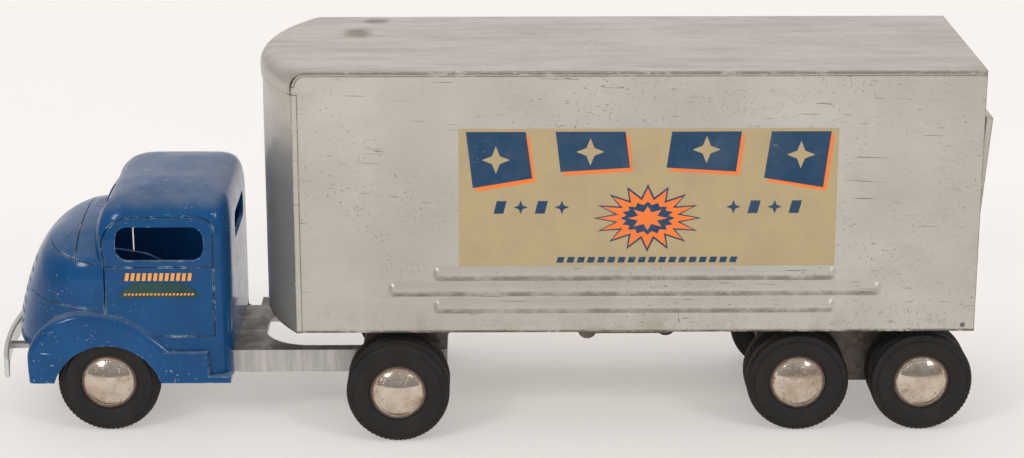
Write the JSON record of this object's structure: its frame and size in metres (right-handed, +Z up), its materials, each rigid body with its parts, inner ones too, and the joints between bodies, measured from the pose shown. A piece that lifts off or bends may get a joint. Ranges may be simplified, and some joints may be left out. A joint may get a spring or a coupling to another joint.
{
  "type": "toy articulated box van truck",
  "caption": "Toy articulated truck with a rounded cast cab and a coupled box-van trailer: curved nose, side ribs, drop tailgate, free-rolling wheels and folding landing gear.",
  "frame": {"origin": "on the floor, under the middle of the bounding box at rest", "axes": "+X to the rear of the truck, -Y to its left side, +Z up"},
  "size_m": [0.6118, 0.1836, 0.2324],
  "materials": {
    "cab_paint": "gloss, chipped at the edges",
    "van_paint": "satin silver-grey, scratched",
    "bare_aluminium": "weathered casting",
    "polished_aluminium": "polished",
    "bare_steel": "dull, stained",
    "tyre_rubber": "matte",
    "hubcap_plate": "bright, pitted"
  },
  "bodies": {
    "tractor": {"cab_casting": "cab_paint", "cab_screws": "bare_steel", "front_bumper": "polished_aluminium", "bumper_brackets": "bare_aluminium", "chassis_frame": "bare_aluminium", "rear_axle_bracket": "bare_aluminium", "fifth_wheel_plate": "bare_steel", "front_axle": "bare_steel", "drive_axle": "bare_steel"},
    "kingpin": {"kingpin": "bare_steel"},
    "trailer": {"roof_panel": "van_paint", "left_side_panel": "van_paint", "right_side_panel": "van_paint", "nose_panel": "van_paint", "floor_panel": "bare_steel", "rear_header": "van_paint", "tailgate_hinge_pin": "bare_steel", "coupler_plate": "bare_steel", "bogie_frame": "bare_steel", "bogie_front_axle": "bare_steel", "bogie_rear_axle": "bare_steel", "trailer_rivets": "bare_steel", "landing_bracket": "bare_steel", "landing_pivot_pin": "bare_steel"},
    "latch_button": {"latch_button": "bare_steel"},
    "tailgate": {"tailgate": "van_paint"},
    "landing_gear": {"landing_legs": "bare_steel"},
    "landing_wheels": {"landing_axle": "bare_steel", "landing_left_wheel": "tyre_rubber", "landing_right_wheel": "tyre_rubber"},
    "front_left_wheel": {"front_left_tyre": "tyre_rubber", "front_left_rim": "bare_steel", "front_left_hubcap": "hubcap_plate"},
    "front_right_wheel": {"front_right_tyre": "tyre_rubber", "front_right_rim": "bare_steel", "front_right_hubcap": "hubcap_plate"},
    "drive_left_wheel": {"drive_left_outer_tyre": "tyre_rubber", "drive_left_inner_tyre": "tyre_rubber", "drive_left_rim": "bare_steel", "drive_left_hubcap": "hubcap_plate"},
    "drive_right_wheel": {"drive_right_outer_tyre": "tyre_rubber", "drive_right_inner_tyre": "tyre_rubber", "drive_right_rim": "bare_steel", "drive_right_hubcap": "hubcap_plate"},
    "bogie_front_left_wheel": {"bogie_front_left_outer_tyre": "tyre_rubber", "bogie_front_left_inner_tyre": "tyre_rubber", "bogie_front_left_rim": "bare_steel", "bogie_front_left_hubcap": "hubcap_plate"},
    "bogie_front_right_wheel": {"bogie_front_right_outer_tyre": "tyre_rubber", "bogie_front_right_inner_tyre": "tyre_rubber", "bogie_front_right_rim": "bare_steel", "bogie_front_right_hubcap": "hubcap_plate"},
    "bogie_rear_left_wheel": {"bogie_rear_left_outer_tyre": "tyre_rubber", "bogie_rear_left_inner_tyre": "tyre_rubber", "bogie_rear_left_rim": "bare_steel", "bogie_rear_left_hubcap": "hubcap_plate"},
    "bogie_rear_right_wheel": {"bogie_rear_right_outer_tyre": "tyre_rubber", "bogie_rear_right_inner_tyre": "tyre_rubber", "bogie_rear_right_rim": "bare_steel", "bogie_rear_right_hubcap": "hubcap_plate"}
  },
  "joints": [
    {"name": "trailer_lift", "type": "slide", "parent": "tractor", "child": "kingpin", "axis": [0, 0, 1], "range_m": [0, 0.014]},
    {"name": "trailer_turn", "type": "hinge", "parent": "kingpin", "child": "trailer", "pos_m": [-0.05387, 0, 0.067], "axis": [0, 0, 1], "range_deg": [-85, 85]},
    {"name": "tailgate_drop", "type": "hinge", "parent": "trailer", "child": "tailgate", "pos_m": [0.29353, 0, 0.072], "axis": [0, 1, 0], "range_deg": [-4.4, 85.6]},
    {"name": "latch_turn", "type": "hinge", "parent": "trailer", "child": "latch_button", "pos_m": [0.29633, -0.06, 0.2125], "axis": [1, 0, 0], "range_deg": [-90, 90]},
    {"name": "landing_gear_fold", "type": "hinge", "parent": "trailer", "child": "landing_gear", "pos_m": [0.06413, 0, 0.057], "axis": [0, 1, 0], "range_deg": [0, 90]},
    {"name": "landing_wheels_spin", "type": "hinge", "parent": "landing_gear", "child": "landing_wheels", "pos_m": [0.11413, 0, 0.057], "axis": [0, 1, 0], "continuous": true},
    {"name": "front_left_spin", "type": "hinge", "parent": "tractor", "child": "front_left_wheel", "pos_m": [-0.23437, -0.061, 0.03175], "axis": [0, 1, 0], "continuous": true},
    {"name": "front_right_spin", "type": "hinge", "parent": "tractor", "child": "front_right_wheel", "pos_m": [-0.23437, 0.061, 0.03175], "axis": [0, 1, 0], "continuous": true},
    {"name": "drive_left_spin", "type": "hinge", "parent": "tractor", "child": "drive_left_wheel", "pos_m": [-0.05387, -0.0724, 0.03175], "axis": [0, 1, 0], "continuous": true},
    {"name": "drive_right_spin", "type": "hinge", "parent": "tractor", "child": "drive_right_wheel", "pos_m": [-0.05387, 0.0724, 0.03175], "axis": [0, 1, 0], "continuous": true},
    {"name": "bogie_front_left_spin", "type": "hinge", "parent": "trailer", "child": "bogie_front_left_wheel", "pos_m": [0.19443, -0.0557, 0.03175], "axis": [0, 1, 0], "continuous": true},
    {"name": "bogie_front_right_spin", "type": "hinge", "parent": "trailer", "child": "bogie_front_right_wheel", "pos_m": [0.19443, 0.0557, 0.03175], "axis": [0, 1, 0], "continuous": true},
    {"name": "bogie_rear_left_spin", "type": "hinge", "parent": "trailer", "child": "bogie_rear_left_wheel", "pos_m": [0.27143, -0.0557, 0.03175], "axis": [0, 1, 0], "continuous": true},
    {"name": "bogie_rear_right_spin", "type": "hinge", "parent": "trailer", "child": "bogie_rear_right_wheel", "pos_m": [0.27143, 0.0557, 0.03175], "axis": [0, 1, 0], "continuous": true}
  ]
}
